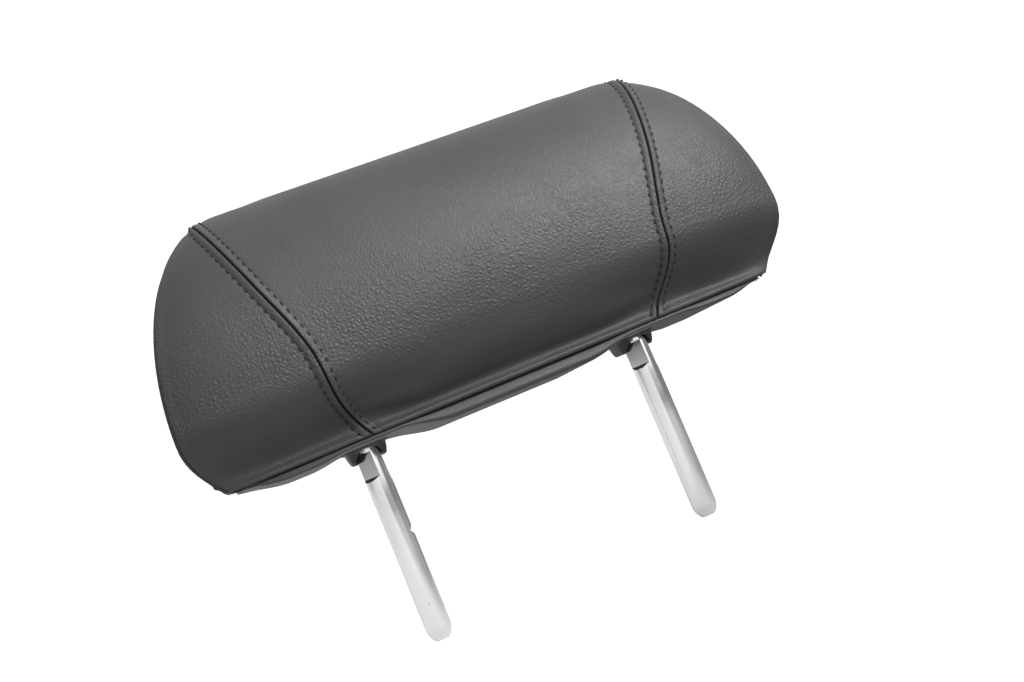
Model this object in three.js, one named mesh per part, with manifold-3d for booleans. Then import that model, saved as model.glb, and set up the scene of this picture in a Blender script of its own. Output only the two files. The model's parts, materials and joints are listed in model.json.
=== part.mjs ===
// A car headrest: a padded leather cushion that tilts on a bent steel rod, whose two
// chromed posts drop into the guides of a seat back.
// Millimetres. +Z runs up along the posts, X across, and the face that meets the head
// looks towards -Y. The origin lies midway between the posts, level with the underside.

import * as THREE from 'three';
import { ParametricGeometry } from 'three/addons/geometries/ParametricGeometry.js';
import { mergeVertices } from 'three/addons/utils/BufferGeometryUtils.js';
import Module from 'manifold-3d';

const wasm = await Module();
wasm.setup();

// Rod and posts
const postDiameter = 12;
const postSpacing = 138;
const postDrop = 92;            // underside of the cushion to the post tips
const tipLength = 6;            // chamfered end of a post
const tipDiameter = 6.6;
const barHeight = 56;           // crossbar axis, the tilt axis, above the underside
const bendRadius = 18;
const tiltBack = 9;             // degrees that the cushion leans back from rest
const latchNotchTop = 2;        // below the underside
const latchNotchLength = 12;
const latchNotchDepth = 2.6;
const latchNotchAngle = 222;    // degrees round the post, from +X
const detentDrop = 42;          // below the underside, on the left post alone
const detentHeight = 4;
const detentDepth = 1.6;

// Cushion outline
const cushionHeight = 122;
const widestHalf = 142.5;       // half the width where the cushion is widest
const widestHeight = 25;
const ridgeHalf = 83.5;         // half the length of the straight top ridge
const undersideHalf = 128;
const faceReach = 65.5;         // front face in front of the posts, at its fullest
const faceHeight = 42;          // height of the fullest point
const turnHeight = 35;          // where the face starts to turn under
const lipHeight = 7;            // where it stops, above the lip of the underside
const undercut = 23;            // how far it turns under
const lipFlare = 3;             // how far the lip stands forward again
const ridgeReach = 7;           // top ridge in front of the posts
const undersideTuck = 4;        // rear edge of the underside, in from the back
const widestShare = 0.25;       // where the ends are widest, as a share of the depth
const frontSquareness = 3.2;    // superellipse power of the front of each slice
const rearSquareness = 5;
const underPower = 1.3;         // how late the face turns under
const widthPower = 2;           // superellipse powers of the rounding up to the ridge
const facePower = 1.8;
const backPower = 2.6;

// Cover
const leather = 2.5;
const seamGap = 0.4;
const seamHeights = [0.15, 0.35, 0.62];   // French seams, shares of the height
const seamFlares = [7, 11, 22];           // and how far they lie outside the post axes there
const seamFootInset = 4;        // their feet inside the post axes
const seamTopFlare = 38;        // the same at the ridge
const endSeamShare = 0.34;      // end seam, in front of the widest line
const topSeamSetback = 10;      // that seam behind the same share at the top
const setbackPower = 6;         // how late it falls back

// Carrier and small parts
const wall = 2;
const slide = 0.3;              // gap between seated pieces
const swing = 0.6;              // gap beside what swings
const collar = 3;               // wall of a slot bezel
const collarDrop = 6;           // bezel below the underside
const carrierBase = 8;          // carrier above the underside
const carrierFront = 15;        // carrier in front of the posts
const backPadding = 5.5;        // foam behind the carrier
const registerHeight = 3;       // bezel neck inside the carrier
const registerWall = 1.6;
const bushPosition = 36;
const bushLength = 14;
const bushWall = 2.7;
const flangeRim = 2;
const flangeWidth = 1.5;
const snapSlit = 1.6;
const saddleHalfHeight = 12;
const clampWidth = 16;
const clampSheet = 1.2;
const clampEar = 10;
const clampLeg = 9;             // clamp ears behind the crossbar axis
const screwRadius = 1.5;
const screwHeadRadius = 3.2;
const screwHeadHeight = 2;
const bossWall = 3;
const bossInset = 13;           // carrier screws in from the post axes
const screwEnd = 10;            // screw tips in front of the crossbar axis
const clampScrewLength = 7;

// Fineness of the round surfaces
const aroundCushion = 44;
const rowsOfCushion = 18;
const roundSides = 20;
const columnSpread = 0.7;       // draws the columns of a slice towards its ends
const seamSteps = 16;
const bendSteps = 8;

// What follows from them
const postRadius = postDiameter / 2;
const postX = postSpacing / 2;
const lean = THREE.MathUtils.degToRad(tiltBack);
const slotHalf = postRadius + swing;
const slotFront = -slotHalf;
const slotRear = postRadius / Math.cos(lean) + (barHeight + collarDrop) * Math.tan(lean) + swing;
const registerOut = registerWall + slide;
const carrierRear = slotRear + registerOut + slide + wall;
const carrierHalf = postX + slotHalf + registerOut + slide + wall;
const backReach = carrierRear + slide + backPadding + leather + seamGap;
const undersideRear = backReach - undersideTuck;
const bushRadius = postRadius + slide + bushWall;
const clampInside = postRadius + slide;
const clampOutside = clampInside + clampSheet;
const carrierTop = barHeight + clampOutside + clampEar + slide + wall;
const clampScrewOffset = clampOutside + clampEar / 2;

// Materials, as the photograph shows them
function finish(color, roughness, metalness) {
  return new THREE.MeshStandardMaterial({ color, roughness, metalness });
}

const finishes = {
  leather: () => finish(0x38363a, 0.55, 0),
  chrome: () => finish(0xd9dbdd, 0.12, 1),
  plastic: () => finish(0x19191b, 0.5, 0),
  carrier: () => finish(0x4a4b4d, 0.6, 0),
  foam: () => finish(0xd8cfae, 0.95, 0),
  steel: () => finish(0x9a9c9e, 0.35, 1),
};

// Solids from geometry, and back
function solidOf(geometry) {
  const bare = new THREE.BufferGeometry();
  bare.setAttribute('position', geometry.getAttribute('position').clone());
  bare.setIndex(geometry.index);
  const merged = mergeVertices(bare, 1e-4);
  const corners = merged.index.array;
  const kept = [];
  for (let i = 0; i < corners.length; i += 3) {
    const [a, b, c] = corners.slice(i, i + 3);
    if (a !== b && b !== c && c !== a) kept.push(a, b, c);
  }
  return new wasm.Manifold(new wasm.Mesh({
    numProp: 3,
    vertProperties: merged.getAttribute('position').array,
    triVerts: Uint32Array.from(kept),
  }));
}

function geometryOf(solid) {
  const mesh = solid.getMesh();
  const geometry = new THREE.BufferGeometry();
  geometry.setAttribute('position', new THREE.BufferAttribute(mesh.vertProperties, 3));
  geometry.setIndex(new THREE.BufferAttribute(mesh.triVerts, 1));
  geometry.computeVertexNormals();
  return geometry;
}

function named(name, solid, material) {
  const mesh = new THREE.Mesh(geometryOf(solid), material);
  mesh.name = name;
  return mesh;
}

// A box between two corners
function block(x0, x1, y0, y1, z0, z1) {
  const box = new THREE.BoxGeometry(x1 - x0, y1 - y0, z1 - z0);
  return solidOf(box.translate((x0 + x1) / 2, (y0 + y1) / 2, (z0 + z1) / 2));
}

// A round bar along X or Y, between two places on that axis
function barAlongX(radius, x0, x1, y, z) {
  const bar = new THREE.CylinderGeometry(radius, radius, x1 - x0, roundSides);
  return solidOf(bar.rotateZ(Math.PI / 2).translate((x0 + x1) / 2, y, z));
}

function barAlongY(radius, y0, y1, x, z) {
  const bar = new THREE.CylinderGeometry(radius, radius, y1 - y0, roundSides);
  return solidOf(bar.translate(x, (y0 + y1) / 2, z));
}

// A flat outline carried along one axis, where its own two axes are the other two
const axisX = new THREE.Vector3(1, 0, 0);
const axisY = new THREE.Vector3(0, 1, 0);
const axisZ = new THREE.Vector3(0, 0, 1);

function prism(shape, along, from, to) {
  const geometry = new THREE.ExtrudeGeometry(shape, {
    depth: to - from,
    bevelEnabled: false,
    curveSegments: roundSides / 4,
  });
  if (along === 'x') {
    geometry.applyMatrix4(new THREE.Matrix4().makeBasis(axisY, axisZ, axisX));
    geometry.translate(from, 0, 0);
  }
  if (along === 'y') {
    geometry.applyMatrix4(new THREE.Matrix4().makeBasis(axisX, axisZ, axisY.clone().negate()));
    geometry.translate(0, to, 0);
  }
  if (along === 'z') geometry.translate(0, 0, from);
  return solidOf(indexed(geometry));
}

function indexed(geometry) {
  const bare = new THREE.BufferGeometry();
  bare.setAttribute('position', geometry.getAttribute('position'));
  return mergeVertices(bare, 1e-4);
}

// An oval slot in plan: half a circle at each end, joined by straight sides
function slotShape(x, half, front, rear) {
  const shape = new THREE.Shape();
  shape.moveTo(x + half, front + half);
  shape.lineTo(x + half, rear - half);
  shape.absarc(x, rear - half, half, 0, Math.PI, false);
  shape.lineTo(x - half, front + half);
  shape.absarc(x, front + half, half, Math.PI, 2 * Math.PI, false);
  return shape;
}

// A post slot grown on every side
function slotGrownBy(x, growth) {
  return slotShape(x, slotHalf + growth, slotFront - growth, slotRear + growth);
}

// The cushion is a stack of level slices. Above its fullest height a measure falls to the
// ridge as a quarter of a superellipse does. Low down the face turns under in an S, and
// the lip of the underside flares forward again below it.
function crown(height, from, power) {
  const share = Math.max(0, (height - from) / (cushionHeight - from));
  return Math.sqrt(1 - Math.min(1, share) ** power);
}

function easeInOut(share) {
  const kept = Math.min(Math.max(share, 0), 1);
  return kept * kept * (3 - 2 * kept);
}

function halfWidthAt(z) {
  if (z > widestHeight) return ridgeHalf + (widestHalf - ridgeHalf) * crown(z, widestHeight, widthPower);
  return widestHalf - (widestHalf - undersideHalf) * (1 - z / widestHeight) ** 2;
}

function frontAt(z) {
  const face = -ridgeReach - (faceReach - ridgeReach) * crown(z, faceHeight, facePower);
  const down = Math.max(0, turnHeight - z) / (turnHeight - lipHeight);
  return face + undercut * easeInOut(down ** underPower) - lipFlare * easeInOut(1 - z / lipHeight);
}

function rearAt(z) {
  if (z > faceHeight) return -ridgeReach + (backReach + ridgeReach) * crown(z, faceHeight, backPower);
  return undersideRear + (backReach - undersideRear) * easeInOut(z / faceHeight);
}

function widestAt(z) {
  return frontAt(z) + widestShare * (rearAt(z) - frontAt(z));
}

// One slice is a superellipse in front of its widest line and another one behind it.
// The first row of points lies on that line, which closes the underside.
function cushionSurface(inset) {
  return (u, v, target) => {
    const angle = 2 * Math.PI * u;
    const row = v * (rowsOfCushion + 1) - 1;
    const share = (1 - Math.cos(Math.PI * Math.max(0, row) / rowsOfCushion)) / 2;
    const z = cushionHeight * share;
    const squareness = angle > Math.PI ? frontSquareness : rearSquareness;
    const across = Math.sign(Math.cos(angle)) * Math.abs(Math.cos(angle)) ** columnSpread;
    const along = Math.max(0, 1 - Math.abs(across) ** squareness) ** (1 / squareness);
    const depth = (rearAt(z) - frontAt(z)) / 2;
    const shrink = Math.min(inset, depth / 3);  // the ridge is thin
    const edge = angle > Math.PI ? frontAt(z) + shrink : rearAt(z) - shrink;
    const reach = row < 0 ? 0 : along;
    target.set(
      (halfWidthAt(z) - inset) * across,
      widestAt(z) + (edge - widestAt(z)) * reach,
      inset + (cushionHeight - 2 * inset) * share,
    );
  };
}

function cushionSolid(inset) {
  return solidOf(new ParametricGeometry(cushionSurface(inset), aroundCushion, rowsOfCushion + 1));
}

// Cover: five panels of one shell, parted along the seams
const far = 2 * widestHalf;
const overTop = cushionHeight + leather;

function faceSeamPoints() {
  const spline = new THREE.SplineCurve([
    new THREE.Vector2(postX - seamFootInset, -leather),
    ...seamHeights.map((share, i) => new THREE.Vector2(postX + seamFlares[i], cushionHeight * share)),
    new THREE.Vector2(postX + seamTopFlare, overTop),
  ]);
  return spline.getPoints(seamSteps);
}

function endSeamAt(z) {
  const height = Math.min(Math.max(z, 0), cushionHeight);
  const ahead = endSeamShare * (widestAt(height) - frontAt(height));
  return widestAt(height) - ahead + topSeamSetback * (height / cushionHeight) ** setbackPower;
}

function endSeamPoints(shift) {
  const points = [];
  for (let i = 0; i <= seamSteps; i += 1) {
    const z = -leather + (overTop + leather) * (i / seamSteps);
    points.push(new THREE.Vector2(endSeamAt(z) + shift, z));
  }
  return points;
}

function coverPanels() {
  const seam = faceSeamPoints();
  const parted = seamGap / 2;
  const cover = cushionSolid(0).subtract(cushionSolid(leather));
  const upper = cover.subtract(block(-far, far, -far, far, -leather, leather + parted));

  const behind = [...endSeamPoints(0), new THREE.Vector2(far, overTop), new THREE.Vector2(far, -leather)];
  const ahead = [
    ...endSeamPoints(-seamGap),
    new THREE.Vector2(-far, overTop),
    new THREE.Vector2(-far, -leather),
  ];
  const rear = upper.intersect(prism(new THREE.Shape(behind), 'x', -far, far));
  const front = upper.intersect(prism(new THREE.Shape(ahead), 'x', -far, far));

  const left = seam.map((p) => new THREE.Vector2(-p.x + parted, p.y));
  const right = seam.map((p) => new THREE.Vector2(p.x - parted, p.y));
  const between = new THREE.Shape([...left, ...right.reverse()]);
  const side = (sign) => new THREE.Shape([
    ...seam.map((p) => new THREE.Vector2(sign * (p.x + parted), p.y)),
    new THREE.Vector2(sign * far, overTop),
    new THREE.Vector2(sign * far, -leather),
  ]);

  const outline = cushionSolid(0).intersect(block(-far, far, -far, far, -leather, leather - parted));
  const opened = [-postX, postX].reduce(
    (panel, x) => panel.subtract(prism(slotGrownBy(x, collar + slide), 'z', -leather, overTop)),
    outline,
  );
  return {
    centre_panel: front.intersect(prism(between, 'y', -far, far)),
    left_side_panel: front.intersect(prism(side(-1), 'y', -far, far)),
    right_side_panel: front.intersect(prism(side(1), 'y', -far, far)),
    rear_panel: rear,
    bottom_panel: opened,
  };
}

// Foam, hollowed for the carrier and for the bezels below it
function foamCore() {
  let foam = cushionSolid(leather + seamGap).subtract(block(
    -carrierHalf - slide, carrierHalf + slide,
    -carrierFront - slide, carrierRear + slide,
    carrierBase - slide, carrierTop + slide,
  ));
  for (const x of [-postX, postX]) {
    foam = foam.subtract(prism(slotGrownBy(x, collar + slide), 'z', 0, carrierBase));
  }
  return foam;
}

// Rod: post, bend, crossbar, bend, post, with more stations in the bends
class BentRod extends THREE.Curve {
  constructor(points) {
    super();
    this.points = points;
  }

  getPoint(t, target = new THREE.Vector3()) {
    const place = Math.min(Math.max(t, 0), 1) * (this.points.length - 1);
    const first = Math.min(Math.floor(place), this.points.length - 2);
    return target.lerpVectors(this.points[first], this.points[first + 1], place - first);
  }

  getUtoTmapping(u) {
    return u;
  }
}

function rodPoints() {
  const points = [new THREE.Vector3(-postX, 0, -postDrop)];
  for (let i = 0; i <= bendSteps; i += 1) {
    const turn = Math.PI - (Math.PI / 2) * (i / bendSteps);
    points.push(new THREE.Vector3(
      -postX + bendRadius + bendRadius * Math.cos(turn),
      0,
      barHeight - bendRadius + bendRadius * Math.sin(turn),
    ));
  }
  const other = points.map((p) => new THREE.Vector3(-p.x, p.y, p.z)).reverse();
  return [...points, ...other];
}

function tipRing(x) {
  const outer = postDiameter;
  const tipSlope = tipLength / (postRadius - tipDiameter / 2);
  const profile = [
    new THREE.Vector2(tipDiameter / 2, -postDrop),
    new THREE.Vector2(tipDiameter / 2, -postDrop - tipLength),
    new THREE.Vector2(outer, -postDrop - tipLength),
    new THREE.Vector2(outer, -postDrop + (outer - tipDiameter / 2) * tipSlope),
    new THREE.Vector2(tipDiameter / 2, -postDrop),
  ];
  const ring = new THREE.LatheGeometry(profile, roundSides);
  return solidOf(ring.rotateX(Math.PI / 2).translate(x, 0, 0));
}

function latchNotch(x) {
  const reach = postRadius - latchNotchDepth;
  const shape = new THREE.Shape([
    new THREE.Vector2(reach, -latchNotchTop),
    new THREE.Vector2(reach, -latchNotchTop - latchNotchLength + latchNotchDepth / 2),
    new THREE.Vector2(postDiameter, -latchNotchTop - latchNotchLength - postRadius / 2),
    new THREE.Vector2(postDiameter, -latchNotchTop),
  ]);
  const geometry = new THREE.ExtrudeGeometry(shape, { depth: 2 * postDiameter, bevelEnabled: false });
  geometry.translate(0, 0, -postDiameter);
  geometry.rotateX(Math.PI / 2);
  geometry.rotateZ(THREE.MathUtils.degToRad(latchNotchAngle));
  geometry.translate(x, 0, 0);
  return solidOf(indexed(geometry));
}

function detentNotch() {
  const edge = -postX + postRadius;
  const shape = new THREE.Shape([
    new THREE.Vector2(edge - detentDepth, -detentDrop),
    new THREE.Vector2(edge + detentDepth, -detentDrop - detentHeight),
    new THREE.Vector2(edge + detentDepth, -detentDrop + detentHeight),
  ]);
  return prism(shape, 'y', -postDiameter, postDiameter);
}

function postRod() {
  const round = new THREE.Shape();
  round.absarc(0, 0, postRadius, 0, 2 * Math.PI, false);
  const path = new BentRod(rodPoints());
  const tube = new THREE.ExtrudeGeometry(round, {
    steps: path.points.length - 1,
    curveSegments: roundSides / 2,
    extrudePath: path,
  });
  let rod = solidOf(indexed(tube));
  for (const x of [-postX, postX]) rod = rod.subtract(tipRing(x)).subtract(latchNotch(x));
  return rod.subtract(detentNotch());
}

// Bezel: an oval collar below the cushion, with a thinner neck inside the carrier
function slotBezel(x) {
  const top = carrierBase + wall + registerHeight;
  const collarTop = carrierBase - slide;
  return prism(slotGrownBy(x, collar), 'z', -collarDrop, collarTop)
    .add(prism(slotGrownBy(x, registerWall), 'z', collarTop - wall, top))
    .subtract(prism(slotGrownBy(x, 0), 'z', -2 * collarDrop, 2 * top));
}

// Carrier: two trays that close on the plane of the rod, with saddles for the bushes
const bossRadius = screwRadius + slide + bossWall;
const screwX = postX - bossInset;
const lowerScrewZ = carrierBase + wall / 2 + bossRadius;
const upperScrewZ = carrierTop - wall / 2 - bossRadius;
const screwPlaces = [-1, 1].flatMap((sign) => [lowerScrewZ, upperScrewZ].map((z) => [sign * screwX, z]));
const saddleHalf = bushLength / 2 - flangeWidth - slide;

function openSlots(half) {
  return [-postX, postX].reduce(
    (piece, x) => piece.subtract(prism(
      slotGrownBy(x, registerOut), 'z', carrierBase - wall, carrierBase + 2 * wall,
    )),
    half,
  );
}

function tray(outer, inner, parting) {
  const [low, high] = [Math.min(outer, parting), Math.max(outer, parting)];
  const [lowIn, highIn] = outer < 0 ? [inner, parting + wall] : [parting - wall, inner];
  const saddleLow = outer < 0 ? inner : parting;
  const saddleHigh = outer < 0 ? parting : inner;
  let half = block(-carrierHalf, carrierHalf, low, high, carrierBase, carrierTop).subtract(block(
    -carrierHalf + wall, carrierHalf - wall, lowIn, highIn, carrierBase + wall, carrierTop - wall,
  ));
  for (const x of [-bushPosition, bushPosition]) {
    half = half.add(block(
      x - saddleHalf, x + saddleHalf, saddleLow, saddleHigh,
      barHeight - saddleHalfHeight, barHeight + saddleHalfHeight,
    )).subtract(barAlongX(bushRadius + slide, x - bushLength, x + bushLength, 0, barHeight));
  }
  return half;
}

function carrierFrontHalf() {
  const parting = -slide / 2;
  let half = openSlots(tray(-carrierFront, -carrierFront + wall, parting));
  for (const [x, z] of screwPlaces) {
    half = half.add(barAlongY(bossRadius, -carrierFront + wall / 2, parting, x, z))
      .subtract(barAlongY(screwRadius + slide, -screwEnd - slide, slide, x, z));
  }
  return half;
}

const headSeat = carrierRear - screwHeadHeight - slide;
const clampEarBack = clampLeg + clampSheet;
const clampBossRadius = screwRadius + slide + wall;
const clampScrewPlaces = [barHeight - clampScrewOffset, barHeight + clampScrewOffset];

function carrierRearHalf() {
  const parting = slide / 2;
  let half = openSlots(tray(carrierRear, carrierRear - wall, parting));
  for (const [x, z] of screwPlaces) {
    half = half.add(barAlongY(bossRadius, parting, carrierRear - wall / 2, x, z))
      .subtract(barAlongY(screwRadius + slide, -slide, carrierRear + slide, x, z))
      .subtract(barAlongY(screwHeadRadius + slide, headSeat - slide, carrierRear + slide, x, z));
  }
  for (const z of clampScrewPlaces) {
    const tip = clampLeg + clampScrewLength;
    half = half.add(barAlongY(clampBossRadius, clampEarBack + slide, carrierRear - wall / 2, 0, z))
      .subtract(barAlongY(screwRadius + slide, clampEarBack, tip, 0, z));
  }
  return half;
}

// Bush: a flanged sleeve with a slit, snapped over the crossbar
function pivotBush(x) {
  const bore = postRadius + slide;
  const half = bushLength / 2;
  const profile = [
    new THREE.Vector2(bore, -half),
    new THREE.Vector2(bushRadius + flangeRim, -half),
    new THREE.Vector2(bushRadius + flangeRim, -half + flangeWidth),
    new THREE.Vector2(bushRadius, -half + flangeWidth),
    new THREE.Vector2(bushRadius, half - flangeWidth),
    new THREE.Vector2(bushRadius + flangeRim, half - flangeWidth),
    new THREE.Vector2(bushRadius + flangeRim, half),
    new THREE.Vector2(bore, half),
    new THREE.Vector2(bore, -half),
  ];
  const sleeve = new THREE.LatheGeometry(profile, roundSides);
  const slit = block(
    x - bushLength, x + bushLength, -snapSlit / 2, snapSlit / 2,
    barHeight, barHeight + 2 * bushRadius,
  );
  return solidOf(sleeve.rotateZ(-Math.PI / 2).translate(x, 0, barHeight)).subtract(slit);
}

// Friction clamp: a steel strap round the crossbar, screwed to the rear tray by two ears
function frictionClamp() {
  const ear = clampOutside + clampEar;
  const quarter = Math.PI / 2;
  const strap = new THREE.Shape();
  strap.moveTo(clampEarBack, barHeight + ear);
  strap.lineTo(clampLeg, barHeight + ear);
  strap.lineTo(clampLeg, barHeight + clampOutside);
  strap.lineTo(0, barHeight + clampOutside);
  strap.absarc(0, barHeight, clampOutside, quarter, 3 * quarter, false);
  strap.lineTo(clampLeg, barHeight - clampOutside);
  strap.lineTo(clampLeg, barHeight - ear);
  strap.lineTo(clampEarBack, barHeight - ear);
  strap.lineTo(clampEarBack, barHeight - clampInside);
  strap.lineTo(0, barHeight - clampInside);
  strap.absarc(0, barHeight, clampInside, 3 * quarter, quarter, true);
  strap.lineTo(clampEarBack, barHeight + clampInside);
  return clampScrewPlaces.reduce(
    (clamp, z) => clamp.subtract(barAlongY(screwRadius + slide, 0, 2 * clampEarBack, 0, z)),
    prism(strap, 'x', -clampWidth / 2, clampWidth / 2),
  );
}

// Screws: a flat head and a plain shank, both round Y
function screw(x, z, headLow, headHigh, shankLow, shankHigh) {
  return barAlongY(screwHeadRadius, headLow, headHigh, x, z)
    .add(barAlongY(screwRadius, shankLow, shankHigh, x, z));
}

function carrierScrew([x, z]) {
  return screw(x, z, headSeat, headSeat + screwHeadHeight, -screwEnd, headSeat + slide);
}

function clampScrew(z) {
  const seat = clampLeg - slide;
  return screw(0, z, seat - screwHeadHeight, seat, seat - slide, seat + clampScrewLength);
}

// Assembly
const headrest = new THREE.Group();
headrest.add(named('post_rod', postRod(), finishes.chrome()));

const cushion = new THREE.Group();
for (const [name, panel] of Object.entries(coverPanels())) {
  cushion.add(named(name, panel, finishes.leather()));
}
cushion.add(named('foam_core', foamCore(), finishes.foam()));
cushion.add(named('left_bezel', slotBezel(-postX), finishes.plastic()));
cushion.add(named('right_bezel', slotBezel(postX), finishes.plastic()));
cushion.add(named('carrier_front', carrierFrontHalf(), finishes.carrier()));
cushion.add(named('carrier_rear', carrierRearHalf(), finishes.carrier()));
cushion.add(named('left_pivot_bush', pivotBush(-bushPosition), finishes.plastic()));
cushion.add(named('right_pivot_bush', pivotBush(bushPosition), finishes.plastic()));
cushion.add(named('friction_clamp', frictionClamp(), finishes.steel()));
['lower_left', 'upper_left', 'lower_right', 'upper_right'].forEach((corner, i) => {
  cushion.add(named(`carrier_screw_${corner}`, carrierScrew(screwPlaces[i]), finishes.steel()));
});
['lower', 'upper'].forEach((end, i) => {
  cushion.add(named(`clamp_screw_${end}`, clampScrew(clampScrewPlaces[i]), finishes.steel()));
});
headrest.add(cushion);

export default headrest;
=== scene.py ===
# %% [markdown]
# A car headrest. A block of foam inside a leather cover tilts on a bent steel rod, and
# the two chromed ends of that rod are the posts that drop into the seat back. The packed
# model gives every solid its place. This lesson dresses it: leather panels that swell
# between their seams, stitches, rounded bezels and round posts with their latch notches.

import json
import math

import bmesh
import bpy
import numpy as np
from mathutils import Matrix

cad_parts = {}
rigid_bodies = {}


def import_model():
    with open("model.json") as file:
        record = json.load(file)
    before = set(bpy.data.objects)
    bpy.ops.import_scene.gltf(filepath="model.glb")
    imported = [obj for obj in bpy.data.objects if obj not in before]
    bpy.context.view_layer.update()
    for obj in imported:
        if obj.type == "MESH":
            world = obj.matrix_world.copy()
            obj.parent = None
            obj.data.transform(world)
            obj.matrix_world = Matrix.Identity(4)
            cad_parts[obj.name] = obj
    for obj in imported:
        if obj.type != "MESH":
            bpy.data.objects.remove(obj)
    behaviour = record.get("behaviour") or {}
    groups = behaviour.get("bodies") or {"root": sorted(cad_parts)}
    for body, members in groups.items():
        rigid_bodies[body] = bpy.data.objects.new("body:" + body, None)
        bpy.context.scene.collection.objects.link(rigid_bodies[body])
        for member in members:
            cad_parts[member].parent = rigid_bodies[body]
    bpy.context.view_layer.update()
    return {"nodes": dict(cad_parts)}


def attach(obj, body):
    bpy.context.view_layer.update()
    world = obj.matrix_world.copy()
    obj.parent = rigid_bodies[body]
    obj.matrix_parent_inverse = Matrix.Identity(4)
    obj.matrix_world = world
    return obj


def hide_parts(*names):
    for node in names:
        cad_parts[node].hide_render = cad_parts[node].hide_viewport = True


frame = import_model()
MM = 0.001
print("solids:", len(frame["nodes"]))

# %% [markdown]
# The photograph was taken with the posts pointing towards the camera and the camera
# rolled, so the top edge climbs to the right. The three directions below are the
# camera's own axes in the model's frame, worked out from the posts, the seams and the
# outline. Blender's camera looks along its own -Z, with +Y up in the picture.

# %% Camera
IMAGE_WIDTH = 1024
FOCAL_PIXELS = 1100
SENSOR = 36.0
EYE = (-112.6, -501.3, -15.6)
PICTURE_RIGHT = (0.9002, -0.1984, -0.3878)
PICTURE_DOWN = (-0.3616, 0.1558, -0.9192)
FORWARD = (0.2428, 0.9677, 0.0685)

camera_data = bpy.data.cameras.new("camera")
camera_data.sensor_width = SENSOR
camera_data.lens = FOCAL_PIXELS * SENSOR / IMAGE_WIDTH
camera_data.clip_start = 0.01
camera = bpy.data.objects.new("camera", camera_data)
bpy.context.scene.collection.objects.link(camera)
turn = np.eye(4)
turn[:3, 0] = PICTURE_RIGHT
turn[:3, 1] = -np.array(PICTURE_DOWN)
turn[:3, 2] = -np.array(FORWARD)
turn[:3, 3] = np.array(EYE) * MM
camera.matrix_world = Matrix(turn.tolist())
bpy.context.scene.camera = camera
print("lens", round(camera_data.lens, 1), "mm")

# %% [markdown]
# Shader nodes are easier to read as arithmetic. A small class wraps the output of a
# node, and an expression on such values adds the Math nodes that it needs.


# %% Shader expressions
class Value:
    """One output socket. Arithmetic on it adds a Math node and gives that node's output."""

    def __init__(self, tree, socket):
        self.tree = tree
        self.socket = socket

    def node(self, kind, settings=None, output=0, **values):
        """Any node: its settings first, then each input's value or link."""
        made = self.tree.nodes.new(kind)
        for name, setting in (settings or {}).items():
            setattr(made, name, setting)
        for name, value in values.items():
            key = int(name[1:]) if name[0] == "i" and name[1:].isdigit() else name.replace("_", " ")
            socket = made.inputs[key]
            if isinstance(value, Value):
                self.tree.links.new(value.socket, socket)
            else:
                socket.default_value = value
        return Value(self.tree, made.outputs[output])

    def maths(self, operation, *others):
        inputs = {f"i{i}": value for i, value in enumerate((self, *others))}
        return self.node("ShaderNodeMath", {"operation": operation}, **inputs)

    def __add__(self, other):
        return self.maths("ADD", other)

    __radd__ = __add__

    def __mul__(self, other):
        return self.maths("MULTIPLY", other)

    __rmul__ = __mul__

    def __sub__(self, other):
        return self.maths("SUBTRACT", other)

    def __rsub__(self, other):
        return (self * -1.0) + other

    def ramp(self, low, high, to_low=0.0, to_high=1.0):
        """Smooth step from to_low at low to to_high at high."""
        settings = {"interpolation_type": "SMOOTHSTEP"}
        return self.node(
            "ShaderNodeMapRange", settings, i0=self, i1=low, i2=high, i3=to_low, i4=to_high
        )

    def mix(self, first, second):
        """Colour between first and second, by this value."""
        colour = {"data_type": "RGBA"}
        return self.node("ShaderNodeMix", colour, output=2, i0=self, i6=first, i7=second)


class Finish:
    """A material with a Principled shader, object coordinates and a few helpers."""

    def __init__(self, name):
        self.material = bpy.data.materials.new(name)
        self.material.use_nodes = True
        self.tree = self.material.node_tree
        self.shader = self.tree.nodes["Principled BSDF"]
        self.start = Value(self.tree, None)
        self.place = self.start.node("ShaderNodeTexCoord", output=3)

    def set(self, **values):
        """Sockets of the shader, by name with _ for a space."""
        for name, value in values.items():
            socket = self.shader.inputs[name.replace("_", " ")]
            if isinstance(value, Value):
                self.tree.links.new(value.socket, socket)
            else:
                socket.default_value = value

    def axis(self, index):
        """One object coordinate, in metres."""
        return self.start.node("ShaderNodeSeparateXYZ", output=index, i0=self.place)

    def noise(self, size, detail=3.0, roughness=0.5, output=0, place=None):
        """Soft noise whose blotches are about size metres across."""
        return self.start.node(
            "ShaderNodeTexNoise", None, output,
            Vector=place or self.place, Scale=1 / size, Detail=detail, Roughness=roughness,
        )

    def attribute(self, name):
        return self.start.node("ShaderNodeAttribute", {"attribute_name": name}, output=2)

    def bump(self, height, distance, strength=1.0):
        """A normal from a height of 0 to 1 that stands for distance metres."""
        return self.start.node(
            "ShaderNodeBump", Height=height, Distance=distance, Strength=strength
        )


def grey(level, warmth=0.0):
    """A grey of that linear level, with a little more red or, below zero, more blue."""
    return (level * (1 + warmth), level, level * (1 - warmth), 1.0)


# %% [markdown]
# The room is a plain white one. The floor is a pale stage as wide as the view, level
# with the post tips. It glows for the camera, so that it stays white, and less so in
# reflections, where it darkens to the right and gives the posts a bright and a dark side.
# One broad soft light hangs in front of the cushion, to the right and above it. The world
# is brighter above than ahead, and darker level with the cushion's two ends.

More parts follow.
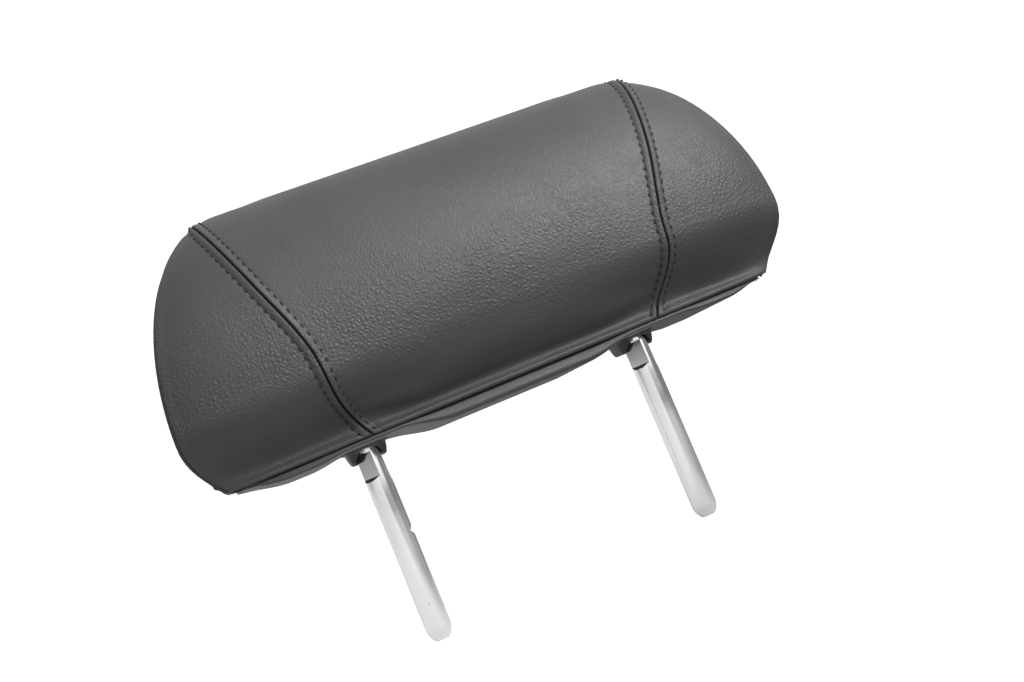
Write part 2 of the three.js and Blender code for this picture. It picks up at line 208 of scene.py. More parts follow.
# %% Floor, world and lights
STAGE_HALF = 40.0
POST_DROP = 92
floor_finish = Finish("pale_floor")
on_view = floor_finish.start.node("ShaderNodeLightPath", output=0)
mirrored = floor_finish.start.node("ShaderNodeLightPath", output=3)
to_the_right = floor_finish.axis(0).ramp(-0.12, 0.3)
glow = on_view * 0.95 + mirrored * (0.62 - to_the_right * 0.6)
floor_finish.set(
    Base_Color=grey(0.2), Roughness=0.9, Emission_Color=grey(1.0), Emission_Strength=glow
)
floor_mesh = bpy.data.meshes.new("floor")
floor_z = -POST_DROP * MM
floor_mesh.from_pydata(
    [(x, y, floor_z) for x, y in ((-STAGE_HALF, -STAGE_HALF), (STAGE_HALF, -STAGE_HALF),
                                  (STAGE_HALF, STAGE_HALF), (-STAGE_HALF, STAGE_HALF))],
    [],
    [(0, 1, 2, 3)],
)
floor = bpy.data.objects.new("floor", floor_mesh)
floor_mesh.materials.append(floor_finish.material)
bpy.context.scene.collection.objects.link(floor)

bpy.context.scene.view_settings.view_transform = "Standard"

world = bpy.data.worlds.new("studio")
bpy.context.scene.world = world
world.use_nodes = True
sky = Value(world.node_tree, None)
background = world.node_tree.nodes["Background"]
direction = sky.node("ShaderNodeTexCoord", output=0)
up = sky.node("ShaderNodeSeparateXYZ", output=2, i0=direction)
sideways = sky.node("ShaderNodeSeparateXYZ", output=0, i0=direction)
level = 1 - up.maths("ABSOLUTE").ramp(0.25, 0.6)
dark_side = sideways.ramp(0.72, 0.9) + (sideways * -1.0).ramp(0.9, 0.98) * 0.8
brightness = up.ramp(-0.1, 0.8, 1.3, 0.8) * (1 - level * dark_side * 0.85)
brightness = brightness * (sideways * 0.4 + 0.95)
seen = sky.node("ShaderNodeLightPath", output=0)
strength = brightness * (1 - seen) + seen * 1.2
world.node_tree.links.new(strength.socket, background.inputs["Strength"])
background.inputs["Color"].default_value = (1.0, 1.0, 1.0, 1.0)


def soft_light(name, place, aim, size, watts):
    """A square area light at place, turned so that it shines at aim. Metres."""
    data = bpy.data.lights.new(name, "AREA")
    data.shape = "SQUARE"
    data.size = size
    data.energy = watts
    light = bpy.data.objects.new(name, data)
    bpy.context.scene.collection.objects.link(light)
    away = (np.array(place) - np.array(aim)) / np.linalg.norm(np.array(place) - np.array(aim))
    side = np.cross((0.0, 0.0, 1.0), away)
    side /= np.linalg.norm(side)
    pose = np.eye(4)
    pose[:3, 0] = side
    pose[:3, 1] = np.cross(away, side)
    pose[:3, 2] = away
    pose[:3, 3] = place
    light.matrix_world = Matrix(pose.tolist())
    return light


soft_light("top_light", (0.72, -1.08, 0.86), (0.0, 0.0, 0.05), 0.7, 30.0)
print("studio set")

# %% [markdown]
# The cushion is a stack of level slices, as in the solid. Above its fullest height each
# measure shrinks to the top ridge as the square root of one less a power of the share
# climbed, and below it the front turns under in an S. These functions repeat the solid's
# outline in millimetres, on whole arrays at once.

# %% Outline of the cushion
HEIGHT = 122.0
WIDEST_HALF, WIDEST_HEIGHT = 142.5, 25.0
RIDGE_HALF, UNDERSIDE_HALF = 83.5, 128.0
FACE_REACH, FACE_HEIGHT = 65.5, 42.0
RIDGE_REACH = 7.0
TURN_HEIGHT, LIP_HEIGHT = 35.0, 7.0
UNDERCUT, LIP_FLARE = 23.0, 3.0
BACK_REACH, UNDERSIDE_TUCK = 29.4, 4.0
UNDERSIDE_REAR = BACK_REACH - UNDERSIDE_TUCK
WIDEST_SHARE = 0.25
WIDTH_POWER, FACE_POWER, BACK_POWER, UNDER_POWER = 2, 1.8, 2.6, 1.3
SPREAD = 0.7
FRONT_POWER, REAR_POWER = 3.2, 5.0
POST_X = 69.0
WELT = 2.5
MIRROR = np.array([-1.0, 1.0, 1.0])


def crown(z, start, power):
    """Square root of 1 - share**power, where share runs from 0 at start to 1 at the top."""
    share = np.clip((z - start) / (HEIGHT - start), 0, 1)
    return np.sqrt(1 - share**power)


def ease(share):
    share = np.clip(share, 0, 1)
    return share * share * (3 - 2 * share)


def half_width(z):
    """Half the width of the slice at height z."""
    upper = RIDGE_HALF + (WIDEST_HALF - RIDGE_HALF) * crown(z, WIDEST_HEIGHT, WIDTH_POWER)
    lower = WIDEST_HALF - (WIDEST_HALF - UNDERSIDE_HALF) * (1 - z / WIDEST_HEIGHT) ** 2
    return np.where(z > WIDEST_HEIGHT, upper, lower)


def front_edge(z):
    """The slice's most forward y: the crown, then from TURN_HEIGHT down to LIP_HEIGHT an S
    that carries the face back by UNDERCUT, and a lip that flares forward again below."""
    face = -RIDGE_REACH - (FACE_REACH - RIDGE_REACH) * crown(z, FACE_HEIGHT, FACE_POWER)
    down = np.maximum(TURN_HEIGHT - z, 0) / (TURN_HEIGHT - LIP_HEIGHT)
    return face + UNDERCUT * ease(down**UNDER_POWER) - LIP_FLARE * ease(1 - z / LIP_HEIGHT)


def rear_edge(z):
    """The slice's rearmost y."""
    upper = -RIDGE_REACH + (BACK_REACH + RIDGE_REACH) * crown(z, FACE_HEIGHT, BACK_POWER)
    lower = UNDERSIDE_REAR + (BACK_REACH - UNDERSIDE_REAR) * ease(z / FACE_HEIGHT)
    return np.where(z > FACE_HEIGHT, upper, lower)


def widest_line(z):
    """The y at which the slice is widest, WIDEST_SHARE of the way back."""
    return front_edge(z) + WIDEST_SHARE * (rear_edge(z) - front_edge(z))


def slice_point(turn, z):
    """A point of the slice at height z. turn is -1 at the middle of the front, 0 at the
    right end and 1 at the middle of the back: x is half the width times cos**SPREAD, and y
    leaves the widest line by (1 - across**power)**(1/power) of the way to the edge."""
    turn, z = np.broadcast_arrays(np.asarray(turn, float), np.asarray(z, float))
    across = np.clip(np.cos(np.abs(turn) * np.pi / 2), 0, 1) ** SPREAD
    power = np.where(turn < 0, FRONT_POWER, REAR_POWER)
    along = np.clip(1 - across**power, 0, 1) ** (1 / power)
    edge = np.where(turn < 0, front_edge(z), rear_edge(z))
    middle = widest_line(z)
    return np.stack([half_width(z) * across, middle + (edge - middle) * along, z], -1)


def turn_at_x(x, z, side):
    """The turn at which the slice passes x, on its front (side -1) or back (side 1)."""
    across = np.clip(x / half_width(z), 0, 1) ** (1 / SPREAD)
    return side * np.arccos(across) * 2 / np.pi


def turn_at_y(y, z):
    """The turn at which the right half of the slice passes y."""
    middle = widest_line(z)
    front = y < middle
    edge = np.where(front, front_edge(z), rear_edge(z))
    power = np.where(front, FRONT_POWER, REAR_POWER)
    reach = np.where(np.abs(edge - middle) > 1e-6, (y - middle) / (edge - middle + 1e-12), 1)
    across = np.clip(1 - np.clip(reach, 0, 1) ** power, 0, 1) ** (1 / power)
    size = np.arccos(across ** (1 / SPREAD)) * 2 / np.pi
    return np.where(front, -size, size)


# %% [markdown]
# Five leather panels meet in three kinds of seam. Two French seams start at the posts
# and lean outwards up the face. One long seam runs up each end and over the top, a
# little behind the ridge, and parts the face from the back. The last runs round the
# underside. A seam is a line on the slices, so each one is a turn for every height.

# %% Seam lines
FACE_SEAM_HEIGHTS = np.array([-0.021, 0.15, 0.35, 0.62, 1.021]) * HEIGHT
FACE_SEAM_X = POST_X + np.array([-4.0, 7.0, 11.0, 22.0, 38.0])
END_SEAM_SHARE = 0.34
TOP_SETBACK, SETBACK_POWER = 10, 6


def smooth_through(at, knots, values):
    """Catmull-Rom spline through the knots: a cubic on each span, whose slope at a knot
    is that of the line between its neighbours."""
    slopes = np.gradient(values, knots)
    span = np.clip(np.searchsorted(knots, at, "right") - 1, 0, len(knots) - 2)
    width = knots[span + 1] - knots[span]
    t = (at - knots[span]) / width
    rise = values[span + 1] - values[span]
    curve = values[span] + rise * (3 - 2 * t) * t * t
    curve += width * (slopes[span] * t * (1 - t) ** 2 + slopes[span + 1] * t * t * (t - 1))
    return curve


def face_seam_x(z):
    return smooth_through(z, FACE_SEAM_HEIGHTS, FACE_SEAM_X)


def end_seam_turn(z):
    """The end seam lies END_SEAM_SHARE of the way from the widest line to the front edge,
    and falls back behind the ridge towards the top."""
    y = widest_line(z) - END_SEAM_SHARE * (widest_line(z) - front_edge(z))
    y = y + TOP_SETBACK * (z / HEIGHT) ** SETBACK_POWER
    return turn_at_y(y, z)


heights = HEIGHT - (HEIGHT - WELT) * np.linspace(1, 0, 900) ** 2
seams_meet = heights[np.argmax(face_seam_x(heights) >= half_width(heights))]
top_seam = heights[np.argmax((end_seam_turn(heights) >= 0.999) & (heights > HEIGHT / 2))]
print("seams meet at", seams_meet.round(2), "mm, top seam at", top_seam.round(2), "mm")

# %% [markdown]
# Each panel is a family of lines from one of its seams to another. Points are placed on
# every line by their distance from its ends, close together beside a seam, where the
# leather dips and rolls, and further apart in the open. That gives each panel a grid
# whose edges are the seams themselves.

# %% Lines and grids
BESIDE_SEAM = np.array([0, 0.3, 0.6, 0.9, 1.2, 1.6, 2, 2.4, 2.8, 3.15, 3.5, 3.85, 4.3, 4.9, 5.8, 7])
STITCH_COLUMN = 10


def lengths_along(lines):
    """Distance of every point from the start of its line."""
    steps = np.linalg.norm(np.diff(lines, axis=1), axis=2)
    return np.concatenate([np.zeros((len(lines), 1)), np.cumsum(steps, axis=1)], axis=1)


def between(length, middle):
    """Places on a line of that length: beside both ends, and evenly in the middle."""
    beside = BESIDE_SEAM * min(1.0, length / (2.5 * BESIDE_SEAM[-1]))
    inner = np.linspace(beside[-1], length - beside[-1], middle + 2)[1:-1]
    return np.concatenate([beside, inner, length - beside[::-1]])


def walk(lines, middle):
    """The grid of points at those places on every line."""
    travelled = lengths_along(lines)
    rows = []
    for line, done in zip(lines, travelled):
        places = between(done[-1], middle)
        rows.append([np.interp(places, done, line[:, axis]) for axis in range(3)])
    return np.array(rows).transpose(0, 2, 1)


def walk_evenly(lines, count):
    """The grid of points at even fractions of every line, for the simulation."""
    travelled = lengths_along(lines)
    rows = []
    for line, done in zip(lines, travelled):
        places = np.linspace(0, done[-1], count)
        rows.append([np.interp(places, done, line[:, axis]) for axis in range(3)])
    return np.array(rows).transpose(0, 2, 1)


def centre_lines(shares):
    """Lines up the face, over the ridge and down to the top seam. share is -1 at the left
    French seam and 1 at the right one, and x is always share times the seam's x."""
    lines = []
    for share in shares:
        size = abs(share)
        crest_test = size * face_seam_x(heights) >= half_width(heights)
        crest = heights[np.argmax(crest_test)] if crest_test.any() else HEIGHT
        rise = crest - (crest - WELT) * np.linspace(1, 0, 320) ** 2
        front = slice_point(turn_at_x(size * face_seam_x(rise), rise, -1), rise)
        fall = crest - (crest - seams_meet) * np.linspace(0, 1, 900)[1:] ** 2
        turns = turn_at_x(size * face_seam_x(fall), fall, 1)
        past_seam = turns > end_seam_turn(fall)
        kept = np.argmax(past_seam) if past_seam.any() else len(fall)
        back = slice_point(turns[:kept], fall[:kept])
        line = np.concatenate([front, back])
        line[:, 0] *= np.sign(share) if share else 1
        done = lengths_along(line[None])[0]
        even = np.linspace(0, done[-1], 420)
        lines.append(np.stack([np.interp(even, done, line[:, axis]) for axis in range(3)], -1))
    return np.array(lines)


def side_lines(levels):
    """Level lines from the right French seam round the end to the end seam."""
    lines = []
    for z in levels:
        turns = np.linspace(turn_at_x(face_seam_x(z), z, -1), end_seam_turn(z), 400)
        lines.append(slice_point(turns, z))
    return np.array(lines)


def rear_lines(shares):
    """Lines up the back, fanned from the underside to the long seam. share is 0 in the
    middle and 1 at the right end. Both ends of a line are points of the map (1 - turn,
    height), and the line is straight there."""
    levels = top_seam - (top_seam - WELT) * np.linspace(0, 1, 1500) ** 2
    reach = 1 - end_seam_turn(levels)
    seam = slice_point(1 - reach, levels)
    done = lengths_along(seam[None])[0] / lengths_along(seam[None])[0][-1]
    size = np.abs(shares)
    top_reach = np.interp(size, done, reach)
    top_level = np.interp(size, done, levels)
    up = np.linspace(0, 1, 300)[None, :]
    reaches = (size * reach[-1])[:, None] * (1 - up) + top_reach[:, None] * up
    rise = WELT * (1 - up) + top_level[:, None] * up
    lines = slice_point(1 - reaches, rise)
    lines[..., 0] *= np.where(shares < 0, -1, 1)[:, None]
    return lines


def beside_and_between(reach, middle):
    """Shares from -1 to 1, dense at both ends, for a family of lines reach mm apart."""
    beside = 1 - BESIDE_SEAM / reach
    inner = np.linspace(-beside[-1], beside[-1], middle + 2)[1:-1]
    return np.concatenate([-beside, inner, beside[::-1]])


def side_levels(middle):
    """Heights from the underside seam to where the French and end seams meet."""
    beside = WELT + BESIDE_SEAM
    share = np.linspace(0, 1, middle + 1)[1:]
    return np.concatenate([beside, seams_meet - (seams_meet - beside[-1]) * (1 - share) ** 1.4])


families = {
    "centre_panel": (centre_lines, beside_and_between(88.0, 74), np.linspace(-1, 1, 34), 86, 36),
    "right_side_panel": (side_lines, side_levels(60), side_levels(60)[::3], 34, 16),
    "rear_panel": (rear_lines, beside_and_between(190.0, 120), np.linspace(-1, 1, 52), 56, 26),
}
print("line families:", ", ".join(families))

# %% [markdown]
# Leather over foam is never flat: it is pulled down at the seams and swells between
# them. Blender's Cloth simulation does that here. Each panel's coarse grid is a sheet
# pinned along its seams, the foam pushes it out as a pressure, and gravity is off. The
# sheet keeps its grid, so the swelling can be laid on the fine grid by smooth blending.


# %% Swelling by cloth simulation
MIDDLE = np.array([0.0, -15.0, 55.0])
SHORTEST_LINE = 6.0
POLE_SIZE = 0.5


def quads(rows, columns):
    """Faces of a grid, four corners each."""
    index = np.arange(rows * columns).reshape(rows, columns)
    return np.stack(
        [index[:-1, :-1], index[:-1, 1:], index[1:, 1:], index[1:, :-1]], -1
    ).reshape(-1, 4)


def grid_normals(grid):
    """Unit normals from the diagonals of the faces round each point, pointing away from
    the middle of the cushion. An edge that is one point, a pole, has one normal."""
    across = np.cross(grid[1:, 1:] - grid[:-1, :-1], grid[:-1, 1:] - grid[1:, :-1])
    total = np.zeros_like(grid)
    for rows in (slice(0, -1), slice(1, None)):
        for columns in (slice(0, -1), slice(1, None)):
            total[rows, columns] += across
    for edge, inner in ((0, 1), (-1, -2)):
        if np.ptp(grid[edge], axis=0).max() < POLE_SIZE:
            total[edge] = total[inner].sum(0)
    normals = total / np.maximum(np.linalg.norm(total, axis=2, keepdims=True), 1e-12)
    return normals * np.sign(np.sum(normals * (grid - MIDDLE)))


def outward_quads(grid):
    """The faces of a grid, turned so that they point away from the cushion's middle."""
    faces = quads(*grid.shape[:2])
    first, second, third, fourth = (grid.reshape(-1, 3)[faces[:, i]] for i in range(4))
    facing = np.cross(third - first, fourth - second)
    out = np.sum(facing * ((first + third) / 2 - MIDDLE))
    return faces if out > 0 else faces[:, ::-1]


def object_from(name, points, faces):
    """A mesh object at the origin, from points in millimetres."""
    mesh = bpy.data.meshes.new(name)
    corners = faces if isinstance(faces, list) else faces.tolist()
    mesh.from_pydata(points.reshape(-1, 3) * MM, [], corners)
    mesh.update()
    made = bpy.data.objects.new(name, mesh)
    bpy.context.scene.collection.objects.link(made)
    return made


def worked_on(piece, *steps):
    """Takes the piece's mesh through the steps, each a function of its editable form."""
    shell = bmesh.new()
    shell.from_mesh(piece.data)
    for step in steps:
        step(shell)
    shell.to_mesh(piece.data)
    shell.free()


def merged(shell, gap=0.02):
    bmesh.ops.remove_doubles(shell, verts=shell.verts, dist=gap * MM)


def without_loose_points(shell):
    loose = [v for v in shell.verts if not v.link_faces]
    bmesh.ops.delete(shell, geom=loose, context="VERTS")


def faced_outwards(shell):
    bmesh.ops.recalc_face_normals(shell, faces=shell.faces)


def swelling(grid, pressure, cap):
    """How far each point of the grid moves, in mm, when pressure pushes the sheet out
    and its edges stay where they are. No point moves further than cap."""
    open_lines = lengths_along(grid)[:, -1] > SHORTEST_LINE
    whole = grid
    grid = grid[open_lines]
    rows, columns = grid.shape[:2]
    sheet = object_from("sheet", grid, outward_quads(grid))
    index = np.arange(rows * columns).reshape(rows, columns)
    edge = np.unique(np.concatenate([index[0], index[-1], index[:, 0], index[:, -1]]))
    pins = sheet.vertex_groups.new(name="seam")
    pins.add(edge.tolist(), 1.0, "REPLACE")
    cloth = sheet.modifiers.new("cloth", "CLOTH")
    cloth.settings.vertex_group_mass = "seam"
    cloth.settings.use_pressure = True
    cloth.settings.uniform_pressure_force = pressure
    cloth.settings.effector_weights.gravity = 0
    cloth.settings.quality = 8
    scene = bpy.context.scene
    for step in range(1, 21):
        scene.frame_set(step)
    settled = sheet.evaluated_get(bpy.context.evaluated_depsgraph_get())
    places = np.zeros(rows * columns * 3)
    settled.data.vertices.foreach_get("co", places)
    mesh = sheet.data
    bpy.data.objects.remove(sheet)
    bpy.data.meshes.remove(mesh)
    scene.frame_set(1)
    move = np.zeros_like(whole)
    move[open_lines] = places.reshape(grid.shape) / MM - grid
    size = np.linalg.norm(move, axis=2, keepdims=True)
    return move * np.minimum(1, cap / np.maximum(size, 1e-9))


def spline_weights(places, count):
    """Cubic B-spline weights: for each place on 0..count-1, its four neighbours."""
    first = np.clip(np.floor(places).astype(int), 0, count - 2)
    t = places - first
    weights = np.stack(
        [(1 - t) ** 3, 3 * t**3 - 6 * t**2 + 4, -3 * t**3 + 3 * t**2 + 3 * t + 1, t**3], -1
    ) / 6
    neighbours = np.clip(first[..., None] + np.arange(-1, 3), 0, count - 1)
    return neighbours, weights


def laid_on(field, row_places, column_places):
    """The coarse field at fine places: row_places has one value per line, column_places
    one per point, both counted in coarse steps."""
    rows, row_weights = spline_weights(row_places, field.shape[0])
    blended = np.einsum("nk,nkmc->nmc", row_weights, field[rows])
    columns, weights = spline_weights(column_places, field.shape[1])
    taken = blended[np.arange(len(blended))[:, None, None], columns]
    return np.einsum("nmk,nmkc->nmc", weights, taken)


# %% [markdown]
# Beside a French seam the cover has a fixed profile: a deep line where the two panels
# meet, a roll of doubled leather on each side of it, a dip under the stitches and a low
# swell outside them. The end seam and the one round the underside are plain grooves. A
# point's height above the pad depends only on its distance from those lines.

# %% Seam profiles
FRENCH_PROFILE = np.array([
    [0.0, -1.4], [0.25, -0.7], [0.6, 0.0], [1.5, 0.25], [2.6, 0.15], [3.5, -0.22],
    [4.4, 0.08], [6.0, 0.2], [9.0, 0.1], [13.0, 0.0],
])
PLAIN_PROFILE = np.array([[0.0, -1.7], [0.4, -0.7], [1.0, 0.05], [2.4, 0.25], [5.0, 0.2], [9.0, 0.0]])


def seam_curves():
    """Each seam as closely set points: the two French seams, the long seam over both
    ends and the seam round the underside."""
    rise = np.linspace(WELT, seams_meet, 500)
    french = slice_point(turn_at_x(face_seam_x(rise), rise, -1), rise)
    levels = top_seam - (top_seam - WELT) * np.linspace(0, 1, 900) ** 2
    end = slice_point(end_seam_turn(levels), levels)
    done = lengths_along(end[None])[0]
    even = np.linspace(0, done[-1], 1200)
    end = np.stack([np.interp(even, done, end[:, axis]) for axis in range(3)], -1)
    across = np.linspace(-end[0, 0], end[0, 0], 400)
    over = np.stack([across, np.full(400, end[0, 1]), np.full(400, top_seam)], -1)
    crowded = (1 - np.cos(np.pi * np.linspace(0, 1, 1500))) / 2
    round_under = slice_point(np.concatenate([-crowded[::-1], crowded]), WELT)
    return (
        np.concatenate([french, french * MIRROR]),
        np.concatenate([end, end * MIRROR, over]),
        np.concatenate([round_under, round_under * MIRROR]),
    )


FRENCH, END, UNDER = seam_curves()


def distance_to(points, curve):
    """Distance of each point from the nearest point of the curve, in blocks of points so
    that the table of all pairs stays small."""
    flat = points.reshape(-1, 3)
    nearest = [
        np.sqrt(((block[:, None] - curve[None]) ** 2).sum(2).min(1))
        for block in np.array_split(flat, len(flat) // 1500 + 1)
    ]
    return np.concatenate(nearest).reshape(points.shape[:-1])


def profile_height(distance, profile):
    """Height read off a profile by smooth_through, level beyond its last point."""
    inside = np.clip(distance, 0, profile[-1, 0] - 1e-6)
    return smooth_through(inside, profile[:, 0], profile[:, 1])


# %% [markdown]
# Now the panels themselves. The pad starts 1.2 mm inside the solid, the simulated
# swelling is laid on it, and the seam profiles go on last. Every panel is a sheet with
# the thickness of leather and its backing, closed round its edges by Solidify. The left
# side panel is the right one with x reversed.

# %% Leather panels
INSET = 1.2
PRESSURE = 30.0
SWELL_CAP = 3.0
LEATHER = 1.4


def sheet_grid(lines_of, family, coarse, middle, columns):
    """The finished grid of one panel: pad plus swelling plus seam profiles."""
    fine_lines = lines_of(family)
    grid = walk(fine_lines, middle)
    pad = walk_evenly(lines_of(coarse), columns)
    moved = swelling(pad, PRESSURE, SWELL_CAP)
    row_places = np.interp(family, coarse, np.arange(len(coarse)))
    travelled = lengths_along(grid)
    column_places = travelled / np.maximum(travelled[:, -1:], 1e-9) * (columns - 1)
    french = distance_to(grid, FRENCH)
    end = distance_to(grid, END)
    under = distance_to(grid, UNDER)
    nearest = np.minimum(np.minimum(french, end), under)[..., None]
    height = profile_height(french, FRENCH_PROFILE) + profile_height(end, PLAIN_PROFILE)
    height += profile_height(under, PLAIN_PROFILE)
    height = np.maximum(height, -2.2)[..., None] - INSET * ease(nearest / 6)
    swell = laid_on(moved, row_places, column_places) * ease(nearest / 6)
    return grid + swell + grid_normals(grid) * height, nearest[..., 0]


def keep_seam_distance(piece, distance):
    """The attribute "seam": each point's distance from the nearest seam, in mm."""
    layer = piece.data.attributes.new("seam", "FLOAT", "POINT")
    layer.data.foreach_set("value", distance.reshape(-1).astype(np.float32))


def leather_cover(piece, node):
    """The sheet made leather thick and put in the place of its solid."""
    piece.data.shade_smooth()
    wall = piece.modifiers.new("wall", "SOLIDIFY")
    wall.thickness = LEATHER * MM
    wall.offset = -1
    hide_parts(node)
    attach(piece, "cushion")
    return piece


def leather_sheet(name, grid, nearest, node):
    """A panel object: the grid's faces, with its doubled pole points merged."""
    piece = object_from(name, grid, outward_quads(grid))
    keep_seam_distance(piece, nearest)
    worked_on(piece, merged)
    return leather_cover(piece, node)


grids = {}
for name, parts in families.items():
    grids[name], nearest = sheet_grid(*parts)
    if name == "right_side_panel":
        grids["left_side_panel"] = grids[name] * MIRROR
        leather_sheet("left_side_leather", grids["left_side_panel"], nearest, "left_side_panel")
    leather_sheet(name.replace("panel", "leather"), grids[name], nearest, name)
    print(name, grids[name].shape[:2], "points")

# %% [markdown]
# The underside is one more panel, a shallow tray. It hangs a few millimetres below the
# seam between the posts, where the foam pushes through between the bezels, and is drawn
# in close round each bezel. It is a grid of lines from front to back, cut out where the
# bezels come through.

# %% Underside
SLOT_HALF = 6.6
SLOT_REAR = 16.5
COLLAR = 3.0
UNDER_SAG = 4.2
UNDER_ROUND = 5.5
UNDER_EDGE_POWER = 2.6
TUCK_WIDTH = 0.9
TUCK_INWARDS = 4.6
POST_RISE = 1.2
END_ROUND = 24
END_LIFT = 0.75
END_PULL = 2.2
TUCK_RISE, UNDER_BULGE = 1.2, 1.4


def slot_distance(x, y):
    """Distance outside the oval of a post slot: from its two round ends' centres."""
    near = np.abs(np.abs(x) - POST_X)
    past = np.maximum(0, np.maximum(-y, y - (SLOT_REAR - SLOT_HALF)))
    return np.hypot(near, past) - SLOT_HALF


def underside_grid():
    """Lines from the front of the underside seam to its back. Below the seam the panel
    drops by a quarter superellipse over UNDER_ROUND mm, as far as the sag there, and its
    very edge is tucked up behind the panels above. Towards both ends the drop shrinks by
    END_LIFT of itself and the leather is pulled inwards by END_PULL."""
    u = np.linspace(-1, 1, 181)
    x = half_width(WELT) * np.sin(u * np.pi / 2) * 0.9995
    front = slice_point(turn_at_x(np.abs(x), WELT, -1), WELT)[:, 1]
    rear = slice_point(turn_at_x(np.abs(x), WELT, 1), WELT)[:, 1]
    beside = np.array([0, 0.4, 0.8, 1.3, 1.9, 2.6, 3.4, 4.4, 5.6, 7.0])
    rows = []
    for low, high in zip(front, rear):
        scale = min(1.0, (high - low) / 20)
        inner = np.linspace(low + beside[-1] * scale, high - beside[-1] * scale, 22)[1:-1]
        rows.append(np.concatenate([low + beside * scale, inner, high - beside[::-1] * scale]))
    y = np.array(rows)
    x = np.repeat(x[:, None], y.shape[1], 1)
    grid = np.stack([x, y, np.full_like(x, WELT)], -1)
    edge = distance_to(grid, UNDER)
    between_posts = ease((POST_X - 12 - np.abs(x)) / 26)
    outside_posts = ease((np.abs(x) - POST_X - 10) / 16) * 0.35
    pinch = ease(slot_distance(x, y) / 14)
    sag = UNDER_SAG * (between_posts + outside_posts) * pinch - POST_RISE * (1 - pinch)
    share = 1 - np.clip(edge / UNDER_ROUND, 0, 1)
    towards_end = 1 - ease((UNDERSIDE_HALF - np.abs(x)) / END_ROUND)
    drop = (WELT + sag) * (1 - share**UNDER_EDGE_POWER) ** (1 / UNDER_EDGE_POWER)
    drop *= 1 - END_LIFT * towards_end
    core = np.clip(x, END_ROUND - UNDERSIDE_HALF, UNDERSIDE_HALF - END_ROUND)
    inwards = np.stack([core - x, widest_line(WELT) - y, 0 * x], -1)
    inwards /= np.maximum(np.linalg.norm(inwards, axis=2, keepdims=True), 1e-6)
    tuck = 1 - ease(edge / TUCK_WIDTH)
    bulge = UNDER_BULGE * np.sin(np.pi * np.clip(edge / UNDER_ROUND, 0, 1)) * (1 - tuck)
    grid[..., 2] += tuck * (TUCK_RISE + towards_end) - drop * (1 - tuck)
    pull = tuck * TUCK_INWARDS - bulge * (1 - towards_end) + END_PULL * towards_end
    grid += inwards * pull[..., None]
    return grid, edge, slot_distance(x, y) > COLLAR - 0.6


def underside_piece():
    grid, edge, kept = underside_grid()
    faces = outward_quads(grid)
    faces = faces[kept.reshape(-1)[faces].all(1)]
    piece = object_from("underside_leather", grid, faces)
    keep_seam_distance(piece, edge)
    worked_on(piece, merged, without_loose_points)
    return leather_cover(piece, "bottom_panel")


underside = underside_piece()
print("underside", len(underside.data.polygons), "faces")

# %% [markdown]
# The stitches are real threads, about three millimetres long and just over four apart.
# Each is a short tube that rises out of its hole, lies on the leather and dips into the
# next hole. They follow the panels' own grid lines 3.5 mm from the seam, so they sit in
# the dip of the profile.

# %% Stitches
STITCH_PITCH = 4.2
STITCH_LENGTH = 3.1
THREAD_RADIUS = 0.34
STITCH_STATIONS = 7
STITCH_SIDES = 6


def stitch_tubes(line, outwards):
    """Tubes along the line: one per pitch, each with STITCH_STATIONS rings. A ring's
    centre is lifted by a sine over the stitch and starts below the leather, and its
    radius fades at the ends."""
    done = lengths_along(line[None])[0]
    starts = np.arange(2.0, done[-1] - STITCH_LENGTH - 1, STITCH_PITCH)
    t = np.linspace(0, 1, STITCH_STATIONS)
    places = starts[:, None] + t[None] * STITCH_LENGTH
    centre = np.stack([np.interp(places, done, line[:, axis]) for axis in range(3)], -1)
    up = np.stack([np.interp(places, done, outwards[:, axis]) for axis in range(3)], -1)
    up /= np.linalg.norm(up, axis=2, keepdims=True)
    ahead = np.gradient(centre, axis=1)
    ahead /= np.linalg.norm(ahead, axis=2, keepdims=True)
    side = np.cross(ahead, up)
    lift = (np.sin(np.pi * t) * 0.75 - 0.4)[None, :, None]
    centre = centre + up * lift
    angle = np.linspace(0, 2 * np.pi, STITCH_SIDES, endpoint=False)
    radius = THREAD_RADIUS * np.sqrt(np.clip(1 - (2 * t - 1) ** 4, 0.05, 1))[None, :, None, None]
    ring = np.cos(angle)[:, None] * side[:, :, None] + np.sin(angle)[:, None] * up[:, :, None]
    return centre[:, :, None] + ring * radius


def tube_faces(count, stations, sides):
    """Quads of count separate tubes whose rings follow one another, with both ends
    closed by a fan round."""
    index = np.arange(count * stations * sides).reshape(count, stations, sides)
    turned = np.roll(index, -1, 2)
    wall = np.stack([index[:, :-1], turned[:, :-1], turned[:, 1:], index[:, 1:]], -1)
    faces = wall.reshape(-1, 4).tolist()
    faces += index[:, 0, ::-1].tolist()
    faces += index[:, -1].tolist()
    return faces


def stitched(name, lines):
    """One object with the stitches along several (line, normals) pairs."""
    rows = np.concatenate([stitch_tubes(line, outwards) for line, outwards in lines])
    piece = object_from(name, rows, tube_faces(len(rows), STITCH_STATIONS, STITCH_SIDES))
    piece.data.shade_smooth()
    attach(piece, "cushion")
    return piece, len(rows)


centre_normals = grid_normals(grids["centre_panel"])
side_normals = grid_normals(grids["right_side_panel"])
side_line = grids["right_side_panel"][:, STITCH_COLUMN], side_normals[:, STITCH_COLUMN]
french_lines = {
    "right_stitches": [
        (grids["centre_panel"][-1 - STITCH_COLUMN], centre_normals[-1 - STITCH_COLUMN]), side_line,
    ],
    "left_stitches": [
        (grids["centre_panel"][STITCH_COLUMN], centre_normals[STITCH_COLUMN]),
        (side_line[0] * MIRROR, side_line[1] * MIRROR),
    ],
}
threads = []
for name, lines in french_lines.items():
    piece, count = stitched(name, lines)
    threads.append(piece)
    print(name, count, "stitches")

